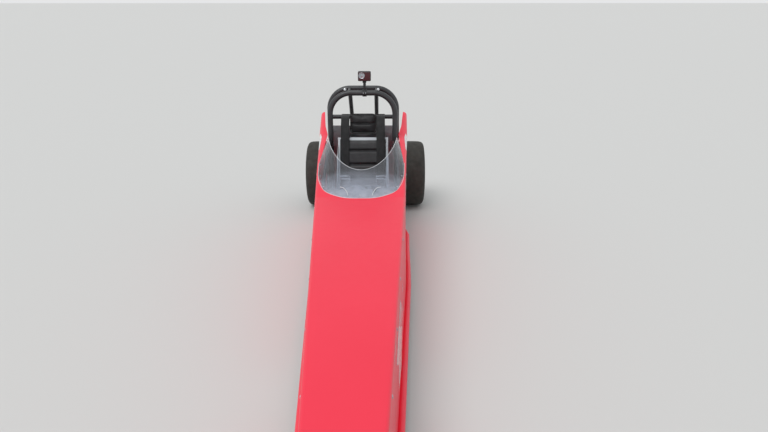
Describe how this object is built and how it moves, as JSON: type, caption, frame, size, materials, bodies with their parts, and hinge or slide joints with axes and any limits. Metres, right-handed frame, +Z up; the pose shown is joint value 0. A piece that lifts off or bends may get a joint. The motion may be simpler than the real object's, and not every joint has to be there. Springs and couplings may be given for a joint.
{
  "type": "junior drag racing car",
  "caption": "Long narrow rear-engined half-scale drag racing car with open cockpit, roll cage, clear screen, wide rear slicks and thin disc front wheels.",
  "frame": {"origin": "on the ground at the middle of the car's length and width", "axes": "nose towards -Y, the car's left side towards +X, +Z up"},
  "size_m": [0.826, 4.4586, 1.0333],
  "materials": {
    "frame_paint": "satin black paint",
    "red_paint": "gloss red paint",
    "sheet_aluminium": "satin sheet",
    "clear_screen": "clear polycarbonate",
    "seat_vinyl": "matt",
    "webbing": "woven",
    "black_plastic": "matt",
    "black_alloy": "gloss black",
    "rim_alloy": "polished",
    "cast_alloy": "cast",
    "steel": "satin",
    "tyre_rubber": "worn slick",
    "belt_rubber": "matt"
  },
  "bodies": {
    "chassis": {"axle_carriers": "sheet_aluminium", "belly_pan": "sheet_aluminium", "brake_caliper": "rim_alloy", "cage_braces": "frame_paint", "carburettor": "cast_alloy", "chain": "steel", "cockpit_side_left": "red_paint", "cockpit_side_right": "red_paint", "crankcase": "cast_alloy", "cylinder": "cast_alloy", "dash_panel": "sheet_aluminium", "drive_belt": "belt_rubber", "drive_clutch": "rim_alloy", "engine_plate": "sheet_aluminium", "exhaust_pipe": "steel", "firewall": "sheet_aluminium", "flywheel_cover": "black_plastic", "frame_braces": "frame_paint", "frame_rails": "frame_paint", "front_hoop": "frame_paint", "front_struts": "frame_paint", "fuel_tank": "sheet_aluminium", "harness": "webbing", "hood": "red_paint", "nose_cone": "red_paint", "onboard_camera": "black_plastic", "rear_hoop": "frame_paint", "seat_pads": "seat_vinyl", "seat_shell": "sheet_aluminium", "side_panel_left": "red_paint", "side_panel_right": "red_paint", "tail_tabs": "frame_paint", "windscreen": "clear_screen"},
    "rear_axle": {"rear_axle": "steel", "axle_sprocket": "steel", "brake_disc": "steel", "rear_wheels": "rim_alloy", "rear_tyre_left": "tyre_rubber", "rear_tyre_right": "tyre_rubber"},
    "jackshaft": {"jackshaft": "steel", "driven_pulley": "rim_alloy"},
    "knuckle_left": {"knuckle_left": "steel"},
    "knuckle_right": {"knuckle_right": "steel"},
    "tie_rod": {"tie_rod": "steel"},
    "front_wheel_left": {"front_wheel_left": "black_alloy", "front_tyre_left": "tyre_rubber"},
    "front_wheel_right": {"front_wheel_right": "black_alloy", "front_tyre_right": "tyre_rubber"},
    "steering": {"steering_wheel": "black_plastic", "steering_shaft": "steel"}
  },
  "joints": [
    {"name": "rear_axle_spin", "type": "hinge", "parent": "chassis", "child": "rear_axle", "pos_m": [0, 2.0007, 0.2286], "axis": [1, 0, 0], "continuous": true},
    {"name": "jackshaft_spin", "type": "hinge", "parent": "chassis", "child": "jackshaft", "pos_m": [0, 1.8507, 0.32], "axis": [1, 0, 0], "continuous": true},
    {"name": "steer_left", "type": "hinge", "parent": "chassis", "child": "knuckle_left", "pos_m": [0.2, -1.8093, 0.25], "axis": [0, 0, 1], "range_deg": [-18, 18]},
    {"name": "steer_right", "type": "hinge", "parent": "chassis", "child": "knuckle_right", "pos_m": [-0.2, -1.8093, 0.25], "axis": [0, 0, 1], "range_deg": [-18, 18]},
    {"name": "tie_rod_swing", "type": "hinge", "parent": "knuckle_left", "child": "tie_rod", "pos_m": [0.2, -1.8993, 0.188], "axis": [0, 0, 1], "range_deg": [-18, 18]},
    {"name": "front_wheel_left_spin", "type": "hinge", "parent": "knuckle_left", "child": "front_wheel_left", "pos_m": [0.265, -1.8093, 0.25], "axis": [1, 0, 0], "continuous": true},
    {"name": "front_wheel_right_spin", "type": "hinge", "parent": "knuckle_right", "child": "front_wheel_right", "pos_m": [-0.265, -1.8093, 0.25], "axis": [1, 0, 0], "continuous": true},
    {"name": "steering_wheel_turn", "type": "hinge", "parent": "chassis", "child": "steering", "pos_m": [0, 0.9257, 0.43], "axis": [0, 0.9962, 0.0866], "range_deg": [-90, 90]}
  ],
  "couplings": [
    {"joint": "jackshaft_spin", "follows": "rear_axle_spin", "ratio": 5},
    {"joint": "steer_right", "follows": "steer_left", "ratio": 1},
    {"joint": "tie_rod_swing", "follows": "steer_left", "ratio": -1},
    {"joint": "steering_wheel_turn", "follows": "steer_left", "ratio": 5}
  ]
}
